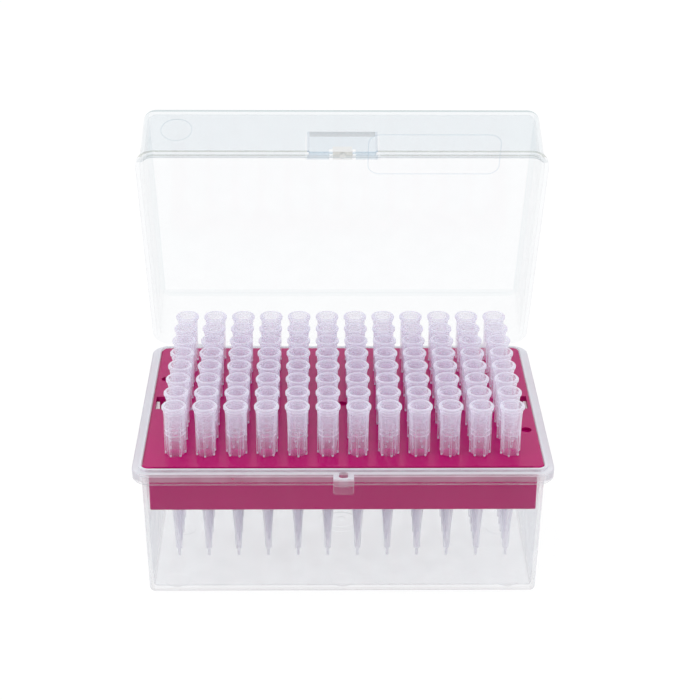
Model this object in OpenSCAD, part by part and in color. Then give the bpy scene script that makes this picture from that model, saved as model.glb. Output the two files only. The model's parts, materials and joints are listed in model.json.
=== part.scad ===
// Box of pipette tips: a hinged translucent box, a coloured rack and the 96 tips that hang in it.
// Millimetres. +Z is up, the latch faces -Y, and the origin is the centre of the box's underside.
// The plan outline of every part of the box is the rack plate's outline, grown or shrunk.

/* [Tip grid] */
// Centre distance of neighbouring tips
tip_pitch = 9; // [8.6:0.1:9.1]

/* [Tip] */
// Height of the tip's rim above the rack
tip_head_height = 15.9; // [14:0.1:18]
// Length of the tip below the top of the rack
tip_shank_length = 35.3; // [30:0.1:38]
// Outside radius of the rim
tip_rim_radius = 3.65; // [3.4:0.05:3.9]
// Height of the thick rim
tip_rim_height = 1.05; // [0.7:0.05:1.6]
// Outside radius of the plain collar below the rim
tip_collar_radius = 3.2; // [3.1:0.01:3.4]
// Height of the collar
tip_collar_height = 1.2; // [0.6:0.1:2]
// Outside radius of the tube just below the collar
tip_barrel_radius = 3.1; // [3:0.01:3.15]
// Outside radius of the tube where it enters the rack
tip_tube_radius = 2.55; // [2.4:0.01:2.7]
// Radius of the bore's mouth
tip_mouth_radius = 2.8; // [2.7:0.01:2.9]
// Radius of the round band that seals on a pipette
tip_seal_radius = 2.6; // [2.5:0.01:2.68]
// Height of the seal band's lower edge above the rack
tip_seal_height = 6.7; // [5:0.1:8]
// Length of the seal band
tip_seal_length = 1.6; // [1:0.1:3]
// Wall of the tube below the seal band
tip_wall = 0.45; // [0.3:0.05:0.6]
// Radius of the round edge of the ribs along the tube
tip_rib_radius = 0.3; // [0.2:0.01:0.35]
// Depth of the graduation ring below the rack
tip_ring_depth = 24.6; // [20:0.1:27]
// Outside radius of the tube at the graduation ring
tip_ring_radius = 1.27; // [1.1:0.01:1.5]
// Length of the fine nozzle at the end
tip_nozzle_length = 2.5; // [1.5:0.1:4]
// Outside radius of the tube where the nozzle begins
tip_nozzle_root_radius = 0.95; // [0.8:0.01:1.1]
// Outside radius of the nozzle's end
tip_nozzle_radius = 0.42; // [0.38:0.01:0.55]
// Radius of the nozzle's bore
tip_orifice_radius = 0.22; // [0.15:0.01:0.26]

/* [Rack] */
// Length of the plate
rack_length = 118; // [117:0.5:124]
// Depth of the plate
rack_depth = 81.5; // [80.5:0.5:88]
// Corner radius of the plate
rack_corner = 2.3; // [1.5:0.1:3.5]
// Thickness of the plate
rack_plate_thickness = 1.8; // [1.4:0.1:2.4]
// Rounding of the plate's top edge
rack_edge_radius = 0.7; // [0.3:0.1:1]
// How far the plate stands over the skirt
rack_overhang = 1.9; // [1.7:0.1:2.6]
// Depth of the skirt below the top of the plate
rack_skirt_depth = 15.1; // [8:0.1:18]
// Wall of the skirt
rack_skirt_wall = 1.3; // [0.9:0.1:1.8]
// Radial clearance of a tip in its hole
tip_hole_clearance = 0.07; // [0.02:0.01:0.12]
// Length of the sleeves under the plate that keep the tips upright
rack_sleeve_length = 1.6; // [0.8:0.1:3]
// Wall of the sleeves
rack_sleeve_wall = 0.8; // [0.6:0.1:1]
// Width of the lifting windows along the short edges
window_width = 8.3; // [6:0.1:12]
// Distance from the plate's edge to a lifting window
window_edge = 1.05; // [0.8:0.05:1.5]
// Reach of a lifting window inwards
window_reach = 3.4; // [2.5:0.1:3.8]
// Depth of the notch in the skirt below a window
window_notch_depth = 9; // [4:0.1:12]
// Radius of the three moulding dimples
dimple_radius = 1.6; // [1:0.1:2]
// Depth of the moulding dimples
dimple_depth = 0.9; // [0.4:0.1:1.2]

/* [Base] */
// Thickness of the floor
floor_thickness = 1.3; // [1:0.1:2]
// Free height between the floor and the tips' ends
tip_floor_gap = 6.9; // [2:0.1:10]
// Thickness of the side walls
wall_thickness = 1.2; // [0.9:0.05:1.6]
// How much narrower each side of the box is at its foot
wall_draft = 1.0; // [0:0.1:1.5]
// Rounding of the box's bottom edge
base_edge_radius = 1.7; // [1:0.1:2.5]
// Play between the rack plate and the lip around it
rack_play = 0.2; // [0.1:0.05:0.3]
// Width of the ledge that carries the plate
ledge_width = 1.2; // [0.9:0.1:1.4]
// Thickness of the lip around the plate
lip_thickness = 0.9; // [0.6:0.1:1.2]
// Height of the lip above the shoulder
lip_height = 0.8; // [0.5:0.1:1.2]
// Width of the shoulder that the lid closes on
shoulder_width = 1.8; // [1.4:0.1:2.4]
// Height of the flange's upright face
flange_height = 2.4; // [1.6:0.1:3]
// Height of the round under the flange
flange_round = 1.9; // [1.2:0.1:2.6]

/* [Lid] */
// Free height between the tips' rims and the closed lid
lid_headroom = 4.4; // [1:0.1:8]
// Thickness of the roof and walls
lid_wall = 1.2; // [0.9:0.05:1.5]
// How far the flange stands over the base's flange
lid_overhang = 0.4; // [0:0.1:0.6]
// Width of the flange outside the walls
lid_flange_width = 1.0; // [0.8:0.05:1.6]
// Height of the flange
lid_flange_height = 2.3; // [2.1:0.1:2.8]
// Thickness of the flange's rim, which stands on the base's shoulder
lid_rim_thickness = 1.3; // [1.1:0.1:1.7]
// Free height above the base's lip inside the rim
lid_rim_play = 0.8; // [0.4:0.1:0.9]
// How much narrower each side of the lid is at its roof
lid_draft = 0.4; // [0:0.05:0.8]
// Rounding of the roof's edges
lid_edge_radius = 1.5; // [1.3:0.1:3]
// Gap between the closed lid and what it covers
lid_fit = 0.3; // [0.2:0.05:0.4]
// Angle of the lid from closed
lid_open_angle = 65.4; // [0:0.1:108]

/* [Hinge] */
// Distance from the middle of the box to the middle of each hinge
hinge_offset = 36.2; // [25:0.1:44]
// Width of the lid's arm
arm_width = 18.4; // [12:0.1:22]
// Thickness of the base's ears
ear_width = 2.2; // [1.5:0.1:3]
// Side play of the arm between the ears
arm_play = 0.4; // [0.2:0.05:0.6]
// Distance from the flange's edge out to the hinge axis
hinge_out = 0.8; // [0.5:0.05:1.2]
// Distance from the shoulder down to the hinge axis
hinge_drop = 3.1; // [2.95:0.05:3.4]
// Radius of the hinge bar
bar_radius = 1.25; // [1:0.05:1.4]
// Radial clearance of the clips on the bar
bar_clearance = 0.06; // [0.02:0.01:0.1]
// Wall of the clips around the bar
clip_wall = 1.24; // [0.9:0.02:1.3]
// Width of each clip
clip_width = 5; // [3:0.1:5.5]
// Width of the mouth through which a clip snaps on
clip_mouth = 1.9; // [1.4:0.1:2.2]
// Height of the thin pad that carries the arm on the lid's wall
pad_height = 15; // [8:0.1:17]
// How far the pad stands out of the wall
pad_proud = 0.5; // [0.3:0.05:0.8]

/* [Latch] */
// Width of the recess for the thumb
thumb_width = 20.3; // [16:0.1:26]
// Height of the recess above the rim
thumb_height = 11; // [9:0.1:14]
// Depth of the recess
thumb_depth = 1; // [0.6:0.1:1.2]
// Width of the tongue between its slots
tongue_width = 5.9; // [4.5:0.1:7]
// Height of the tongue's slots above the rim
tongue_height = 5.7; // [4:0.1:7]
// Width of each slot
slot_width = 1.05; // [0.8:0.05:1.4]
// Radius of the bead that snaps into the catch
bead_radius = 1.05; // [0.8:0.05:1.2]
// Width of the catch on the base
catch_width = 6; // [5:0.1:8]
// How far the catch stands out of the flange
catch_proud = 2.45; // [2.2:0.05:3]
// Height of the catch
catch_height = 5.2; // [4.5:0.1:7]
// Side play of the bead in the catch
bead_play = 0.25; // [0.15:0.05:0.35]

/* [Hidden] */

$fn = 48;
skin = 0.01;       // thickness of the thin slabs inside a hull
through = 1;       // how far a cut runs past the face that it opens
tip_columns = 12;  // the standard 96-place grid
tip_rows = 8;
tip_rib_count = 6;

// Heights
plate_top = floor_thickness + tip_floor_gap + tip_shank_length;
ledge_z = plate_top - rack_plate_thickness;
shoulder_z = plate_top - lip_height;
flange_foot_z = shoulder_z - flange_height;
rim_z = shoulder_z + lid_fit;
roof_in_z = plate_top + tip_head_height + lid_headroom;
roof_z = roof_in_z + lid_wall;

// Plan: half sizes of the rack plate, and how far each outline lies outside it
rack_half_length = rack_length / 2;
rack_half_depth = rack_depth / 2;
lip_in = rack_play;
lip_out = lip_in + lip_thickness;
flange_out = lip_out + shoulder_width;
wall_in = lip_in - ledge_width;
wall_out = wall_in + wall_thickness;
lid_flange_out = flange_out + lid_overhang;
lid_wall_out = lid_flange_out - lid_flange_width;
lid_wall_in = lid_wall_out - lid_wall;
rim_in = lid_flange_out - lid_rim_thickness;
rim_room = lip_height - lid_fit + lid_rim_play;

// Hinge
hinge_y = rack_half_depth + flange_out + hinge_out;
hinge_z = shoulder_z - hinge_drop;
clip_radius = bar_radius + bar_clearance + clip_wall;
bracket_width = arm_width + 2 * (arm_play + ear_width);
ear_radius = hinge_drop - skin;
stop_thickness = 1.2;
arm_front = rack_half_depth + lip_out + 2 * lid_fit;
arm_back = hinge_y + 1.85;

// Latch
front_flange_y = -(rack_half_depth + flange_out);
lid_front_y = -(rack_half_depth + lid_flange_out);
thumb_inset = 0.45;   // how far the flange steps back across the thumb recess
bead_y = lid_front_y + thumb_inset;
bead_z = rim_z + 0.25;

// Plan outline of the rack plate, grown by the given distance; its corners grow with it.
module outline(grow, least_corner = 0.6) {
    x = rack_half_length + grow;
    y = rack_half_depth + grow;
    r = max(rack_corner + grow, least_corner);
    square([2 * (x - r), 2 * y], center = true);
    square([2 * x, 2 * (y - r)], center = true);
    for (sx = [-1, 1], sy = [-1, 1])
        translate([sx * (x - r), sy * (y - r)]) circle(r);
}

// Straight slab of the outline between two heights.
module slab(grow, z0, z1) {
    translate([0, 0, z0]) linear_extrude(z1 - z0) outline(grow);
}

// Block whose outline changes with height: one [grow, z] pair for each level, from the foot up.
module drafted(levels) {
    top = levels[len(levels) - 1][1];
    hull()
        for (level = levels)
            slab(level[0], min(level[1], top - skin), min(level[1], top - skin) + skin, $fn = 32);
}

// Levels of a quarter round of radius r that ends level at [grow - r, z].
function round_over(grow, z, r) = [for (a = [0:18:90]) [grow - r * (1 - cos(a)), z - r * (1 - sin(a))]];

// Rounded rectangle in the XY plane.
module rounded_rectangle(width, depth, r) {
    square([width - 2 * r, depth], center = true);
    square([width, depth - 2 * r], center = true);
    for (sx = [-1, 1], sy = [-1, 1])
        translate([sx * (width / 2 - r), sy * (depth / 2 - r)]) circle(r);
}

// Round bar along X, centred on the hinge axis.
module hinge_cylinder(r, width) {
    translate([0, hinge_y, hinge_z]) rotate([0, 90, 0]) cylinder(r = r, h = width, center = true);
}

// Child copied to both hinges.
module at_hinges() {
    for (side = [-1, 1]) translate([side * hinge_offset, 0, 0]) children();
}

// ---- Base ----

foot_out = wall_out - wall_draft;
foot_in = wall_in - wall_draft;
flange_swell = flange_out - wall_out;   // how far the flange stands out of the wall

module base_outside() {
    drafted(concat(
        [for (a = [0:18:90]) [foot_out - base_edge_radius * (1 - sin(a)), base_edge_radius * (1 - cos(a))]],
        [[wall_out, ledge_z]]
    ));
    drafted(concat(
        [for (a = [0:18:72]) [wall_out + flange_swell * sin(a), flange_foot_z - flange_round * cos(a)]],
        [[flange_out, shoulder_z - 0.3], [flange_out - 0.3, shoulder_z]]
    ));
    slab(lip_out, ledge_z, plate_top);
}

module base_inside() {
    drafted([
        [foot_in - 1.2, floor_thickness],
        [foot_in - 0.35, floor_thickness + 0.35],
        [foot_in, floor_thickness + 1.2],
        [wall_in, ledge_z + skin]
    ]);
    slab(lip_in, ledge_z, plate_top + through);
}

// Two ears, the bar between them and the web under it that stops the lid.
module hinge_bracket() {
    inner = arm_width / 2 + arm_play;
    root_y = rack_half_depth + (wall_in + wall_out) / 2 - wall_draft / 2;
    for (side = [-1, 1]) translate([side * (inner + ear_width / 2), 0, 0]) {
        hinge_cylinder(ear_radius, ear_width);
        translate([-ear_width / 2, root_y, hinge_z - ear_radius])
            cube([ear_width, hinge_y - root_y, 2 * ear_radius]);
    }
    hinge_cylinder(bar_radius, 2 * inner + ear_width);
    translate([-bracket_width / 2, root_y, hinge_z - ear_radius - stop_thickness])
        cube([bracket_width, hinge_y + ear_radius - 0.5 - root_y, stop_thickness]);
}

// Room in the flange for the lid's arm; the lip runs on across it.
module arm_notch() {
    width = arm_width + 2 * arm_play;
    lip_root_z = ledge_z - lip_thickness;
    translate([-width / 2, rack_half_depth + wall_out, 0]) cube([width, hinge_y, lip_root_z]);
    translate([-width / 2, rack_half_depth + lip_out, 0]) cube([width, hinge_y, 2 * plate_top]);
}

module catch_block() {
    root_y = -(rack_half_depth + (wall_in + wall_out) / 2);
    depth = root_y - front_flange_y + catch_proud;
    translate([0, root_y, shoulder_z - catch_height / 2])
        rotate([90, 0, 0])
            linear_extrude(depth) {
                rounded_rectangle(catch_width, catch_height, 0.9);
                translate([-catch_width / 2, 0]) square([catch_width, catch_height / 2]);
            }
}

// Pocket that takes the lid's bead, with a funnel at its mouth.
module catch_pocket() {
    width = 2 * (bead_radius + bead_play);
    back_y = bead_y + width / 2;
    front_y = bead_y - width / 2;
    depth = 3.7;
    translate([-width / 2, front_y, shoulder_z - depth]) cube([width, back_y - front_y, depth + through]);
    translate([0, (front_y + back_y) / 2, shoulder_z - 0.5])
        cylinder(r1 = width / 2, r2 = width / 2 + 0.5, h = 0.5 + skin);
}

// Marks left by the mould on the floor: ejector pads and the round gate boss.
module floor_pads() {
    pad_radius = 3.65;
    pad_x = rack_half_length - 9;
    pad_y = rack_half_depth - 6;
    for (x = [-pad_x, 0, pad_x], y = [-pad_y, pad_y])
        translate([x, y, floor_thickness - 0.2]) cylinder(r = pad_radius, h = 1);
    for (x = [-pad_x, pad_x])
        translate([x, -4.8, floor_thickness - 0.2]) cylinder(r = pad_radius, h = 1);
}

module gate_boss() {
    cylinder(r = 7.1, h = floor_thickness + 0.25);
    cylinder(r = 4.5, h = floor_thickness + 0.6);
    cylinder(r = 1.2, h = floor_thickness + 0.9);
}

module base() {
    color("aliceblue", 0.5) {
        difference() {
            union() {
                difference() {
                    base_outside();
                    at_hinges() arm_notch();
                }
                catch_block();
                at_hinges() hinge_bracket();
            }
            base_inside();
            catch_pocket();
            floor_pads();
        }
        gate_boss();
    }
}

// ---- Rack ----

rack_hole_radius = tip_tube_radius + tip_hole_clearance;
sleeve_foot_z = ledge_z - rack_sleeve_length;

// Window through the plate at each short edge, and the notch in the skirt under it.
module rack_windows() {
    window_y = 0.85;
    skirt_out = rack_half_length - rack_overhang;
    for (side = [-1, 1]) {
        translate([side * (rack_half_length - window_edge - window_reach / 2), window_y, plate_top])
            cube([window_reach, window_width, 4 * rack_plate_thickness], center = true);
        translate([side * (skirt_out - rack_skirt_wall / 2), window_y, ledge_z])
            cube([rack_skirt_wall + skin, window_width, 2 * window_notch_depth], center = true);
    }
}

// Dimples left by the mould's gates: one in the middle and one near each short edge.
module rack_dimples() {
    inset_x = rack_half_length - 2 * dimple_radius;
    for (side = [-1, 0, 1])
        translate([side * inset_x, -side * 1.93 * tip_pitch, plate_top - dimple_depth])
            cylinder(r = dimple_radius, h = dimple_depth + through);
}

// Child copied to every place for a tip.
module at_tips() {
    for (column = [1:tip_columns], row = [1:tip_rows]) translate([tip_x(column), tip_y(row), 0]) children();
}

module rack_sleeves() {
    at_tips() translate([0, 0, sleeve_foot_z])
        cylinder(r = rack_hole_radius + rack_sleeve_wall, h = rack_sleeve_length + skin);
}

module rack_holes() {
    at_tips() translate([0, 0, sleeve_foot_z - through])
        cylinder(r = rack_hole_radius, h = plate_top - sleeve_foot_z + 2 * through);
}

// Plate whose top edge is rounded all round.
module rack_plate() {
    r = rack_edge_radius;
    straight_x = rack_half_length - rack_corner;
    straight_y = rack_half_depth - rack_corner;
    slab(0, ledge_z, plate_top - r);
    slab(-r, ledge_z, plate_top);
    translate([0, 0, plate_top - r]) {
        for (side = [-1, 1]) {
            translate([0, side * (rack_half_depth - r), 0]) rotate([0, 90, 0])
                cylinder(r = r, h = 2 * straight_x, center = true);
            translate([side * (rack_half_length - r), 0, 0]) rotate([90, 0, 0])
                cylinder(r = r, h = 2 * straight_y, center = true);
        }
        for (sx = [-1, 1], sy = [-1, 1])
            translate([sx * straight_x, sy * straight_y, 0])
                rotate_extrude() translate([rack_corner - r, 0]) circle(r);
    }
}

module rack_skirt() {
    foot_z = plate_top - rack_skirt_depth;
    difference() {
        slab(-rack_overhang, foot_z, ledge_z + skin);
        slab(-rack_overhang - rack_skirt_wall, foot_z - through, ledge_z + 2 * skin);
    }
}

module rack() {
    color("mediumvioletred") difference() {
        union() {
            rack_plate();
            rack_skirt();
            rack_sleeves();
        }
        rack_holes();
        rack_dimples();
        rack_windows();
    }
}

// ---- Tips ----

function tip_x(column) = (column - (tip_columns + 1) / 2) * tip_pitch;
function tip_y(row) = (row - (tip_rows + 1) / 2) * tip_pitch;
// Each tip was dropped in at its own turn.
function tip_turn(column, row) = (column * 23 + row * 41) % (360 / tip_rib_count);

tip_nozzle_root = -tip_shank_length + tip_nozzle_length;
tip_rim_foot = tip_head_height - tip_rim_height;

module tip_outside() {
    collar_foot = tip_rim_foot - tip_collar_height;
    rotate_extrude() polygon([
        [0, -tip_shank_length],
        [tip_nozzle_radius, -tip_shank_length],
        [tip_nozzle_radius + 0.06, tip_nozzle_root],
        [tip_nozzle_root_radius, tip_nozzle_root + 0.25],
        [tip_ring_radius - 0.1, -tip_ring_depth - 1.1],
        [tip_ring_radius, -tip_ring_depth - 1],
        [tip_ring_radius, -tip_ring_depth],
        [tip_ring_radius + 0.45, -tip_ring_depth + 5.2],
        [tip_tube_radius - 0.15, -rack_plate_thickness - 1.5],
        [tip_tube_radius, 0],
        [tip_barrel_radius, collar_foot],
        [tip_collar_radius, collar_foot + 0.1],
        [tip_collar_radius, tip_rim_foot - 0.15],
        [tip_rim_radius - 0.1, tip_rim_foot],
        [tip_rim_radius, tip_rim_foot + 0.15],
        [tip_rim_radius, tip_head_height - 0.3],
        [tip_rim_radius - 0.25, tip_head_height],
        [0, tip_head_height]
    ]);
}

module tip_bore() {
    tube_bore = tip_tube_radius - tip_wall;
    rotate_extrude() polygon([
        [0, tip_head_height + through],
        [tip_mouth_radius + 0.25, tip_head_height + through],
        [tip_mouth_radius + 0.25, tip_head_height],
        [tip_mouth_radius, tip_head_height - 0.7],
        [tip_seal_radius, tip_seal_height + tip_seal_length],
        [tip_seal_radius, tip_seal_height],
        [tube_bore + 0.1, tip_seal_height - 0.35],
        [tube_bore, 0],
        [tip_ring_radius + 0.45 - tip_wall, -tip_ring_depth + 5.2],
        [tip_ring_radius - tip_wall, -tip_ring_depth],
        [tip_nozzle_root_radius - tip_wall, tip_nozzle_root + 0.25],
        [tip_orifice_radius, tip_nozzle_root],
        [tip_orifice_radius, -tip_shank_length - through],
        [0, -tip_shank_length - through]
    ]);
}

// Ribs from the collar down to the rack, with round edges; their round feet rest on it.
module tip_ribs() {
    edge = tip_collar_radius - 0.03 - tip_rib_radius;
    root = tip_tube_radius - tip_wall / 2;
    height = tip_rim_foot - tip_collar_height / 2 - tip_rib_radius;
    for (i = [0:tip_rib_count - 1])
        rotate([0, 0, i * 360 / tip_rib_count]) translate([0, 0, tip_rib_radius]) {
            translate([edge, 0, 0]) {
                cylinder(r = tip_rib_radius, h = height);
                sphere(tip_rib_radius, $fn = 24);
            }
            translate([root, -0.8 * tip_rib_radius, -tip_rib_radius / 2])
                cube([edge - root, 1.6 * tip_rib_radius, height + tip_rib_radius / 2]);
        }
}

module tip() {
    difference() {
        union() {
            tip_outside();
            tip_ribs();
        }
        tip_bore();
    }
}

// One column of tips from the front to the back, as an eight-channel pipette takes them.
module tips_column(column) {
    color("lavender", 0.7)
        for (row = [1:tip_rows])
            translate([tip_x(column), tip_y(row), plate_top])
                rotate([0, 0, tip_turn(column, row)]) tip();
}

// ---- Lid, drawn closed ----

module lid_shell() {
    roof_out = lid_wall_out - lid_draft;
    roof_in = lid_wall_in - lid_draft;
    inner_round = lid_edge_radius - lid_wall / 2;
    difference() {
        union() {
            drafted(concat([[lid_wall_out, rim_z]], round_over(roof_out, roof_z, lid_edge_radius)));
            drafted([
                [lid_flange_out - 0.3, rim_z],
                [lid_flange_out, rim_z + 0.3],
                [lid_flange_out, rim_z + lid_flange_height - 0.4],
                [lid_flange_out - 0.4, rim_z + lid_flange_height]
            ]);
        }
        drafted(concat([[lid_wall_in, rim_z - skin]], round_over(roof_in, roof_in_z, inner_round)));
    }
}

// Wall behind the thumb recess, pushed inwards by the recess's depth.
module thumb_wall() {
    width = thumb_width + 2 * lid_wall;
    wall_y = -(rack_half_depth + lid_wall_out);
    translate([0, wall_y + 0.3, rim_z + (thumb_height + lid_wall) / 2 + lip_height / 2])
        rotate([-90, 0, 0])
            linear_extrude(thumb_depth + lid_wall - 0.3)
                rounded_rectangle(width, thumb_height + lid_wall - lip_height, 1.2);
}

module thumb_recess() {
    translate([0, lid_front_y - through, rim_z]) rotate([-90, 0, 0]) mirror([0, 1, 0]) {
        // upper step, then the deeper lower panel
        linear_extrude(through + lid_flange_width + thumb_depth - 0.35)
            translate([0, thumb_height / 2 + 1]) rounded_rectangle(thumb_width, thumb_height - 2, 1.1);
        linear_extrude(through + lid_flange_width + thumb_depth)
            translate([0, thumb_height / 2 + 0.1]) rounded_rectangle(thumb_width, thumb_height - 3.6, 0.5);
        // the flange steps back across the recess
        linear_extrude(through + thumb_inset)
            translate([-thumb_width / 2, -through]) square([thumb_width, 2 * through + lid_flange_height]);
    }
}

// Slots beside the tongue: one opening through the rim and one behind the flange, with a bar between.
module tongue_slots() {
    bar = 0.35;
    back = 6;
    for (side = [-1, 1]) translate([side * (tongue_width + slot_width) / 2 - slot_width / 2, 0, rim_z]) {
        translate([0, lid_front_y - through, bar]) cube([slot_width, back, rim_room - bar]);
        translate([0, lid_front_y + lid_flange_width, rim_room])
            cube([slot_width, back, tongue_height - rim_room]);
    }
}

module bead() {
    translate([0, bead_y, bead_z]) sphere(bead_radius);
}

// Pad, root block and arm of one hinge; the clips and their bores are made next.
module hinge_arm() {
    wall_y = rack_half_depth + lid_wall_out;
    translate([0, wall_y - 0.3, rim_z + pad_height / 2]) rotate([-90, 0, 0])
        linear_extrude(pad_proud + 0.3) rounded_rectangle(arm_width, pad_height, 2);
    translate([-bracket_width / 2, wall_y - 0.3, rim_z])
        cube([bracket_width, hinge_y + 1.15 - wall_y + 0.3, lid_flange_height]);
    translate([-arm_width / 2, arm_front, hinge_z])
        cube([arm_width, arm_back - arm_front, rim_z + lid_flange_height - hinge_z]);
    hinge_cylinder(clip_radius, arm_width);
}

module clip_cuts() {
    bore = bar_radius + bar_clearance;
    gap = arm_width - 2 * clip_width;
    hinge_cylinder(bore, arm_width + 2 * through);
    translate([-arm_width, hinge_y - clip_mouth / 2, hinge_z - 2 * clip_radius])
        cube([2 * arm_width, clip_mouth, 2 * clip_radius]);
    translate([-gap / 2, hinge_y - 2 * clip_radius, hinge_z - 2 * clip_radius])
        cube([gap, 4 * clip_radius, 2 * clip_radius + bore + 0.5]);
}

// Plain raised ring on the front wall, and the plain raised frame of the label field on the roof.
module lid_marks() {
    line = 0.35;
    proud = 0.12;
    wall_y = -(rack_half_depth + lid_wall_out - lid_draft / 2);
    translate([-50.2, wall_y + 0.3, rim_z + 11.9]) rotate([90, 0, 0]) difference() {
        cylinder(r = 4.85, h = 0.3 + proud);
        translate([0, 0, -through]) cylinder(r = 4.85 - line, h = 3);
    }
    translate([29.3, -22.8, roof_z - 0.3]) linear_extrude(0.3 + proud) difference() {
        rounded_rectangle(42, 17.4, 4);
        rounded_rectangle(42 - 2 * line, 17.4 - 2 * line, 4 - line);
    }
}

module lid_closed() {
    difference() {
        union() {
            difference() {
                union() {
                    lid_shell();
                    thumb_wall();
                }
                thumb_recess();
                tongue_slots();
            }
            bead();
            lid_marks();
            at_hinges() hinge_arm();
        }
        at_hinges() clip_cuts();
        // room inside the rim for the base's lip
        slab(rim_in, rim_z - skin, rim_z + rim_room);
    }
}

module lid() {
    color("azure", 0.4)
        translate([0, hinge_y, hinge_z]) rotate([-lid_open_angle, 0, 0])
            translate([0, -hinge_y, -hinge_z]) lid_closed();
}

base();
lid();
rack();
tips_column(1);  // tips_column_01
tips_column(2);  // tips_column_02
tips_column(3);  // tips_column_03
tips_column(4);  // tips_column_04
tips_column(5);  // tips_column_05
tips_column(6);  // tips_column_06
tips_column(7);  // tips_column_07
tips_column(8);  // tips_column_08
tips_column(9);  // tips_column_09
tips_column(10);  // tips_column_10
tips_column(11);  // tips_column_11
tips_column(12);  // tips_column_12
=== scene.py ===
import json
import math

import bpy
from mathutils import Matrix, Vector


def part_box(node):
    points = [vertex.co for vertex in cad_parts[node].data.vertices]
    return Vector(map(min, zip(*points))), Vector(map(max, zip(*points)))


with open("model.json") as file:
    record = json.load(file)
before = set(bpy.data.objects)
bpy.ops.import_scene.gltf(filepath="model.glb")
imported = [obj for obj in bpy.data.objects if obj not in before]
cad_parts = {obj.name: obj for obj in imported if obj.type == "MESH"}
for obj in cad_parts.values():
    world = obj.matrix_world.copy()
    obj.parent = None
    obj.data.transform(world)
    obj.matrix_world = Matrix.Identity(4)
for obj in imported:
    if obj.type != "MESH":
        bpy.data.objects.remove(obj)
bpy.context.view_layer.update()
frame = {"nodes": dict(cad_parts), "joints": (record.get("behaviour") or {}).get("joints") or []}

nodes = frame["nodes"]
MM = 0.001

# ---- Node helpers ----


def new_material(name):
    """A material with an empty tree; returns it, its tree and its output."""
    material = bpy.data.materials.new(name)
    material.use_nodes = True
    tree = material.node_tree
    tree.nodes.clear()
    return material, tree, tree.nodes.new("ShaderNodeOutputMaterial")


def add(tree, kind, inputs=None, **settings):
    """One shader node; an input is a value, or a socket to link from."""
    node = tree.nodes.new(kind)
    for key, value in settings.items():
        setattr(node, key, value)
    for key, value in (inputs or {}).items():
        if isinstance(value, bpy.types.NodeSocket):
            tree.links.new(value, node.inputs[key])
        else:
            node.inputs[key].default_value = value
    return node


def noise(tree, scale, detail=2.0, stretch=(1, 1, 1)):
    """Noise over the row frame, in cells of 1/scale metres, pulled out along an axis by stretch."""
    place = add(tree, "ShaderNodeTexCoord").outputs["Object"]
    mapped = add(tree, "ShaderNodeMapping", {"Vector": place, "Scale": stretch})
    return add(tree, "ShaderNodeTexNoise", {"Vector": mapped.outputs[0], "Scale": scale, "Detail": detail})


def remap(tree, value, low, high, source=(0.3, 0.7)):
    """value, spread from source to the range low to high."""
    return add(tree, "ShaderNodeMapRange", {
        "Value": value, "From Min": source[0], "From Max": source[1], "To Min": low, "To Max": high,
    }).outputs[0]


def maths(tree, operation, *values):
    return add(tree, "ShaderNodeMath", dict(enumerate(values)), operation=operation).outputs[0]


def bump(tree, height, distance, strength=1.0):
    return add(tree, "ShaderNodeBump", {
        "Height": height, "Distance": distance, "Strength": strength,
    }).outputs[0]


def row_place(tree):
    """The place on a piece in mm, in the row frame at rest."""
    place = add(tree, "ShaderNodeTexCoord").outputs["Object"]
    return add(tree, "ShaderNodeMapping", {"Vector": place, "Scale": (1 / MM,) * 3}).outputs[0]


def closed_lid_place(tree):
    """The place on the lid in mm, as it lies with the lid closed."""
    place = add(tree, "ShaderNodeTexCoord").outputs["Object"]
    turn = Matrix.Rotation(math.radians(-lid_hinge["range_deg"][0]), 3, "X")
    hinge = Vector(lid_hinge["pos_m"])
    return add(tree, "ShaderNodeMapping", {
        "Vector": place,
        "Scale": (1 / MM,) * 3,
        "Rotation": turn.to_euler(),
        "Location": (hinge - turn @ hinge) / MM,
    }).outputs[0]


def inside(tree, coordinates, spans):
    """1 within the spans of x, y and z, otherwise 0; a span that is None has no ends."""
    mask = None
    for value, span in zip(coordinates, spans):
        if span is None:
            continue
        low, high = span
        band = maths(tree, "COMPARE", value, (low + high) / 2, (high - low) / 2)
        mask = band if mask is None else maths(tree, "MULTIPLY", mask, band)
    return mask


def zoned(tree, place, colour, zones):
    """colour, but in each zone's spans of place that zone's own; later zones win."""
    coordinates = add(tree, "ShaderNodeSeparateXYZ", {0: place}).outputs
    result = colour
    for *spans, zone_colour in zones:
        mix = add(tree, "ShaderNodeMix", {
            0: inside(tree, coordinates, spans), 6: result, 7: (*zone_colour, 1),
        }, data_type="RGBA")
        result = mix.outputs[2]
    return result


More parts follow.
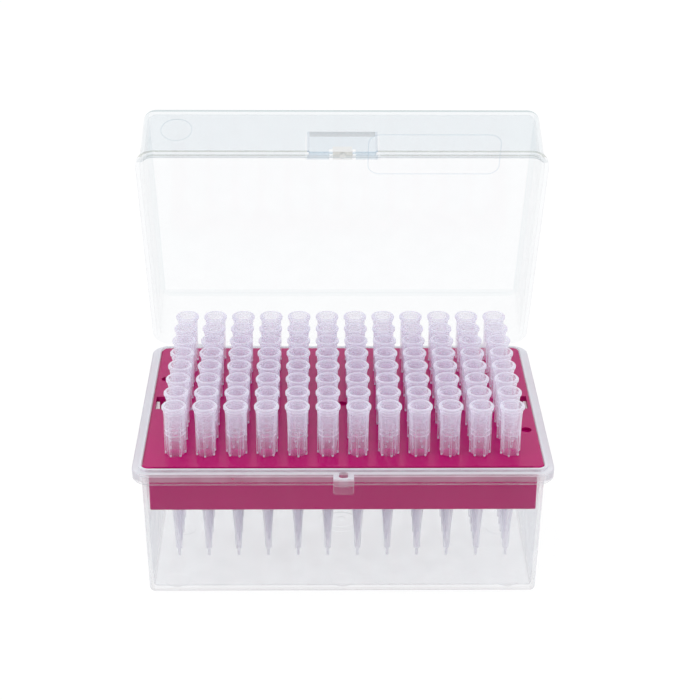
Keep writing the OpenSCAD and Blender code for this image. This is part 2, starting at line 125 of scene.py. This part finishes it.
def clear_plastic(
    name, colour, tint, face_on, edge_on, mirror, gloss_edge, place, zones, density=None, power=2,
):
    """Thin translucent polypropylene: it mirrors a little, scatters a little and passes the rest on.

    Each surface scatters the share face_on of the light when seen square, and edge_on along it,
    because the way through the wall is longer there. density scales that share over the piece.
    The light that passes takes on tint, or in a zone that zone's colour; most zone colours are painted
    shade along edges, rims and in recesses, and a pink one is painted light thrown back by the rack. mirror
    and gloss_edge are the shares that the surface mirrors square on and along it.
    """
    material, tree, output = new_material(name)
    cloud = noise(tree, 140, 1)
    flow = noise(tree, 900, 2, (1, 1, 0.15))
    facing = add(tree, "ShaderNodeLayerWeight", {"Blend": 0.5}).outputs["Facing"]
    share = remap(tree, maths(tree, "POWER", facing, power), face_on, edge_on, (0, 1))
    share = maths(tree, "MULTIPLY", share, remap(tree, cloud.outputs[0], 0.85, 1.15))
    if density is not None:
        share = maths(tree, "MULTIPLY", share, density(tree))
    share = maths(tree, "MINIMUM", share, MOST_CLOUD)
    passed = zoned(tree, place(tree), (*tint, 1), zones)
    front = add(tree, "ShaderNodeBsdfDiffuse", {"Color": (*colour, 1)})
    through = add(tree, "ShaderNodeBsdfTranslucent", {"Color": (*colour, 1)})
    scatter = add(tree, "ShaderNodeMixShader", {0: 0.5, 1: front.outputs[0], 2: through.outputs[0]})
    clear = add(tree, "ShaderNodeBsdfTransparent", {"Color": passed})
    mix = add(tree, "ShaderNodeMixShader", {0: share, 1: clear.outputs[0], 2: scatter.outputs[0]})
    gloss = add(tree, "ShaderNodeBsdfGlossy", {
        "Color": (1, 1, 1, 1),
        "Roughness": remap(tree, flow.outputs[0], 0.05, 0.12),
        "Normal": bump(tree, flow.outputs[0], 0.00002, 0.3),
    })
    mirrored = remap(tree, maths(tree, "POWER", facing, 5), mirror, gloss_edge, (0, 1))
    skin = add(tree, "ShaderNodeMixShader", {0: mirrored, 1: mix.outputs[0], 2: gloss.outputs[0]})
    tree.links.new(skin.outputs[0], output.inputs[0])
    return material


def rack_plastic(name, colour, shade, painted_hole_light):
    """Coloured polypropylene, satin and faintly mottled, with painted light inside its holes: a bright
    magenta there stands in for light that passes through the plastic into them.
    """
    material, tree, output = new_material(name)
    cloud = noise(tree, 60, 3)
    fine = noise(tree, 2600, 2)
    tint = add(tree, "ShaderNodeMix", {
        0: remap(tree, cloud.outputs[0], 0, 1), 6: colour, 7: shade,
    }, data_type="RGBA")
    x, y, z = add(tree, "ShaderNodeSeparateXYZ", {0: row_place(tree)}).outputs
    # Painted light: within the holes the colour turns to a bright magenta, as if lit through the plastic.
    near_axis = maths(tree, "LESS_THAN", tip_radius(tree, x, y), HOLE_RADIUS)
    in_hole = maths(tree, "MULTIPLY", near_axis, inside(tree, (x, y, z), HOLES))
    tint = add(tree, "ShaderNodeMix", {0: in_hole, 6: tint.outputs[2], 7: painted_hole_light}, data_type="RGBA")
    plastic = add(tree, "ShaderNodeBsdfPrincipled", {
        "Base Color": tint.outputs[2],
        "Roughness": remap(tree, fine.outputs[0], 0.14, 0.24),
        "IOR": 1.49,
        "Specular IOR Level": 0.12,
        "Normal": bump(tree, fine.outputs[0], 0.00002, 0.35),
    })
    tree.links.new(plastic.outputs[0], output.inputs[0])
    return material


def paint(node_name, material):
    for material_slot in nodes[node_name].material_slots:
        material_slot.material = material


# ---- Materials ----

lid_hinge = next(joint for joint in frame["joints"] if joint["name"] == "lid_hinge")
plate_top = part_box("rack")[1].z / MM
MOST_CLOUD = 0.95       # the largest share of the light that one surface scatters
TIP_PITCH = 9
TUBE_RADIUS = 2.55      # a tip's tube where it leaves the rack
TUBE_SLOPE = 0.04       # how fast the tube widens upwards
HOLE_RADIUS = 2.9       # a little more than the rack's holes
# x, y and z spans of the rack's holes
HOLES = [(-53, 53), (-35, 35), (plate_top - 5, plate_top - 0.05)]
RIB_CLOUD = 0.9         # cloudiness that a rib adds
# a foot's share is partly its thickness and partly painted highlight, the bright dot at a rib's foot
FOOT_CLOUD_AND_HIGHLIGHT = 5          # and that its foot adds
# (height above the rack in mm, cloudiness beside the plain wall's)
TIP_CLOUD = [
    (-36, 1.2), (-4, 1.2), (-3.9, 0.2), (-0.05, 0.2),               # shank, then the part in the hole
    (0, 0.9), (6.5, 1.1),                                           # tube
    # The seal band's two thin cloudy edges are painted highlight: light lines where its creases are.
    (6.55, 2.6), (6.85, 2.6), (6.9, 1.3), (8.1, 1.3),               # seal band: its lower edge
    (8.15, 2.6), (8.4, 2.6),                                        # and its upper edge
    (8.45, 1.2), (13.6, 1.2), (13.7, 2), (14.7, 2),                 # barrel and collar
    (14.85, 3), (15.1, 1.4), (15.5, 1.6), (15.7, 5), (16, 5),       # rim
]
# (height in mm, cloudiness beside the plain wall's)
BASE_CLOUD = [
    (0, 1), (40.2, 1),                                              # walls and floor
    (40.3, 12), (42.0, 12), (42.1, 28), (42.66, 28),                # flange
    (42.68, 0.3), (42.71, 0.3),                                     # shoulder
    (42.73, 24), (44, 24),                                          # lip
]


def cloud_at(tree, height, table):
    """The cloudiness that the table of (height, cloudiness) gives at a height."""
    low, top = table[0][0], table[-1][0]
    most = max(cloud for _, cloud in table)
    ramp = add(tree, "ShaderNodeValToRGB", {0: remap(tree, height, 0, 1, (low, top))})
    elements = ramp.color_ramp.elements
    for index, (stop, cloud) in enumerate(table):
        position = (stop - low) / (top - low)
        element = elements[index] if index < 2 else elements.new(position)
        element.position = position
        element.color = (cloud / most,) * 3 + (1,)
    return maths(tree, "MULTIPLY", ramp.outputs[0], most)


def base_density(tree):
    """How cloudy the base is: its lip and its thick flange are cloudier than its walls."""
    z = add(tree, "ShaderNodeSeparateXYZ", {0: row_place(tree)}).outputs[2]
    return cloud_at(tree, z, BASE_CLOUD)


def tip_radius(tree, x, y):
    """The distance from the axis of the nearest tip."""
    half = TIP_PITCH / 2
    across = [maths(tree, "PINGPONG", maths(tree, "ADD", side, half), half) for side in (x, y)]
    squares = [maths(tree, "POWER", side, 2) for side in across]
    return maths(tree, "SQRT", maths(tree, "ADD", *squares))


def tip_density(tree):
    """How cloudy a tip is from place to place, beside its plain wall.

    The rim and the collar are cloudier, and so are the ribs, which lie further from the tip's axis than its
    tube, and above all their feet, whose bright dots are partly painted highlight. Both edges of the seal
    band are cloudier in thin bands that are painted highlight, drawing light lines where the band's creases
    are.
    """
    x, y, z = add(tree, "ShaderNodeSeparateXYZ", {0: row_place(tree)}).outputs
    height = maths(tree, "SUBTRACT", z, plate_top)
    radius = tip_radius(tree, x, y)
    tube = maths(tree, "MULTIPLY_ADD", height, TUBE_SLOPE, TUBE_RADIUS)
    rib = remap(tree, maths(tree, "SUBTRACT", radius, tube), 0, 1, (0.1, 0.25))
    above = inside(tree, (height,), [(0.02, 13)])
    foot = inside(tree, (height,), [(0.02, 0.75)])
    # A foot's large cloudiness is partly painted highlight, the bright dot at a rib's foot.
    on_rib = maths(tree, "MULTIPLY_ADD", foot, FOOT_CLOUD_AND_HIGHLIGHT, maths(tree, "MULTIPLY", above, RIB_CLOUD))
    extra = maths(tree, "MULTIPLY", rib, on_rib)
    return maths(tree, "ADD", cloud_at(tree, height, TIP_CLOUD), extra)


LID_FRONT = (-46, -40.9)     # y of the lid's front wall and all that stands on it
# painted shade on the thumb recess's sides
PAINTED_RECESS_SHADE = (0.8, 0.84, 0.88)
# painted shade along the base's bottom edges
PAINTED_EDGE_SHADE = (0.93, 0.925, 0.93)
# In the lid's zones, the darker colours along the roof's round edge and its front, the raised ring, the
# label frame, the flange's top and the rim are painted shade, for the dark lines that bent light draws
# along the edges of clear plastic; those of the thumb recess, its top and its sides are painted shade in
# the recess.
# (x span, y span, z span, what the light keeps of itself there), in mm with the lid closed
LID_ZONES = [
    (None, LID_FRONT, (45.35, 63.5), (0.945, 0.962, 0.971)),                    # front wall
    (None, None, (63.4, 66), (0.94, 0.955, 0.96)),                              # roof's round edge
    (None, LID_FRONT, (63.4, 66), (0.81, 0.85, 0.855)),                         # its front
    ((-55.2, -45.2), (-43.2, -42.94), (49.6, 60), (0.86, 0.9, 0.92)),           # raised ring
    ((-59.3, 59.3), (-41, 41), (63.5, 65.04), (0.985, 0.988, 0.99)),            # flat of the roof
    ((-59.3, 59.3), (-41, 41), (65.04, 66), (0.86, 0.90, 0.93)),                # label frame
    (None, LID_FRONT, (44.95, 45.4), (0.79, 0.80, 0.76)),                       # flange's top
    (None, LID_FRONT, (42.8, 43.4), (0.86, 0.88, 0.89)),                        # rim
    ((-10.2, 10.2), LID_FRONT, (44.2, 52.6), (0.855, 0.9, 0.93)),               # thumb recess
    ((-10.4, 10.4), LID_FRONT, (52.6, 54.3), (0.68, 0.705, 0.72)),              # its top
    ((-10.6, -9.9), LID_FRONT, (44.2, 54.3), PAINTED_RECESS_SHADE),
    ((9.9, 10.6), LID_FRONT, (44.2, 54.3), PAINTED_RECESS_SHADE),
    ((-2.95, 2.95), LID_FRONT, (43.4, 48.7), (0.9, 0.9, 0.885)),                # tongue
]
# the same for the base
BASE_ZONES = [
    (None, None, (42.72, 43.6), (0.93, 0.97, 0.98)),                            # lip
    # painted light: the flange turns pink, as if lit by the magenta thrown back from the rack
    (None, None, (40.3, 42.68), (0.98, 0.945, 0.955)),                          # flange
    # painted shade along the bottom edges
    (None, (-45, -38.2), (-0.1, 1.9), PAINTED_EDGE_SHADE),                               # bottom edges
    (None, (38.2, 45), (-0.1, 1.9), PAINTED_EDGE_SHADE),
    ((-65, -56.8), None, (-0.1, 1.9), PAINTED_EDGE_SHADE),
    ((56.8, 65), None, (-0.1, 1.9), PAINTED_EDGE_SHADE),
]

box_plastic = clear_plastic(
    "box_plastic", colour=(0.88, 0.9, 0.93), tint=(0.985, 0.988, 0.992), face_on=0.015, edge_on=0.45,
    mirror=0.012, gloss_edge=0.25, place=row_place, zones=BASE_ZONES, density=base_density,
)
lid_plastic = clear_plastic(
    "lid_plastic", colour=(0.75, 0.79, 0.81), tint=(0.985, 0.988, 0.99), face_on=0.02, edge_on=0.12,
    mirror=0.012, gloss_edge=0.25, place=closed_lid_place, zones=LID_ZONES,
)
tip_plastic = clear_plastic(
    "tip_plastic", colour=(0.93, 0.93, 1.0), tint=(0.994, 0.99, 0.998), face_on=0.115, edge_on=0.95,
    mirror=0.015, gloss_edge=0.3, place=row_place, zones=[], density=tip_density, power=3,
)
# The rack's brightest colour is painted light inside its holes.
magenta = rack_plastic(
    "rack_plastic", colour=(0.47, 0.001, 0.135, 1), shade=(0.44, 0.001, 0.125, 1),
    painted_hole_light=(0.95, 0.02, 0.42, 1),
)

paint("base", box_plastic)
paint("lid", lid_plastic)
paint("rack", magenta)
for node_name in nodes:
    if node_name.startswith("tips_column"):
        paint(node_name, tip_plastic)

# ---- Stage ----

PAPER = (0.9, 0.9, 0.9, 1)
FLOOR_WHITE = 1.05      # strength of the floor's white, for the camera alone
FLOOR_SHARE = 0.88      # how much of the floor that the camera sees is that white; the rest is paper


def seen_directly(tree):
    """1 for what the camera sees, also in a mirror or through glass."""
    path = add(tree, "ShaderNodeLightPath")
    seen = maths(tree, "ADD", path.outputs["Is Camera Ray"], path.outputs["Is Glossy Ray"])
    return add(tree, "ShaderNodeMath", {
        0: seen, 1: path.outputs["Is Transmission Ray"],
    }, operation="ADD", use_clamp=True).outputs[0]


bpy.ops.mesh.primitive_plane_add(size=6, location=(0, 0, -0.0002))
floor = bpy.context.object
floor.name = "floor"
material, tree, output = new_material("paper")
paper = add(tree, "ShaderNodeBsdfDiffuse", {"Color": PAPER})
white = add(tree, "ShaderNodeEmission", {"Color": (1, 1, 1, 1), "Strength": FLOOR_WHITE})
both = add(tree, "ShaderNodeMixShader", {0: FLOOR_SHARE, 1: paper.outputs[0], 2: white.outputs[0]})
chosen = add(tree, "ShaderNodeMixShader", {0: seen_directly(tree), 1: paper.outputs[0], 2: both.outputs[0]})
tree.links.new(chosen.outputs[0], output.inputs[0])
floor.data.materials.append(material)

world = bpy.data.worlds.new("studio")
bpy.context.scene.world = world
world.use_nodes = True
tree = world.node_tree
tree.nodes.clear()
output = tree.nodes.new("ShaderNodeOutputWorld")
fill = add(tree, "ShaderNodeBackground", {"Color": (0.95, 0.97, 1, 1), "Strength": 0.85})
white = add(tree, "ShaderNodeBackground", {"Color": (1, 1, 1, 1), "Strength": 1.0})
chosen = add(tree, "ShaderNodeMixShader", {0: seen_directly(tree), 1: fill.outputs[0], 2: white.outputs[0]})
tree.links.new(chosen.outputs[0], output.inputs[0])


def softbox(name, place, size, power):
    """A rectangular lamp that looks at the middle of the box."""
    light = bpy.data.lights.new(name, "AREA")
    light.shape = "RECTANGLE"
    light.size, light.size_y = size
    light.energy = power
    lamp = bpy.data.objects.new(name, light)
    lamp.location = place
    lamp.rotation_euler = (Vector(LAMP_TARGET) - Vector(place)).to_track_quat("-Z", "Y").to_euler()
    bpy.context.scene.collection.objects.link(lamp)


LAMP_TARGET = (0, 0, 0.05)
softbox("key", (-0.5, -0.3, 0.8), (0.7, 0.7), 1.5)
softbox("side", (0.7, -0.2, 0.6), (0.6, 0.6), 0.8)
softbox("back", (0.1, 0.8, 0.6), (0.9, 0.5), 0.8)

# ---- Camera ----

CAMERA_PLACE = (-7.41, -508.15, 306.09)   # mm
CAMERA_TURN = 1.107      # degrees to the right of +Y
CAMERA_DOWN = 25.647     # degrees below the horizon
CAMERA_ROLL = 0.431      # degrees
CAMERA_LENS = 94.38      # mm

turn, down, roll = (math.radians(a) for a in (CAMERA_TURN, CAMERA_DOWN, CAMERA_ROLL))
look = Vector((math.sin(turn) * math.cos(down), math.cos(turn) * math.cos(down), -math.sin(down)))
right = Vector((math.cos(turn), -math.sin(turn), 0))
below = look.cross(right)
right, below = (
    math.cos(roll) * right - math.sin(roll) * below,
    math.sin(roll) * right + math.cos(roll) * below,
)
lens = bpy.data.cameras.new("camera")
lens.lens = CAMERA_LENS
lens.sensor_width = 36
lens.clip_start = 0.01
camera = bpy.data.objects.new("camera", lens)
facing_scene = Matrix((right, -below, -look)).transposed().to_4x4()
camera.matrix_world = Matrix.Translation(Vector(CAMERA_PLACE) * MM) @ facing_scene
bpy.context.scene.collection.objects.link(camera)
scene = bpy.context.scene
scene.camera = camera

# ---- Render settings ----

scene.view_settings.view_transform = "Standard"
scene.cycles.max_bounces = 14
scene.cycles.transparent_max_bounces = 160
scene.cycles.use_denoising = True
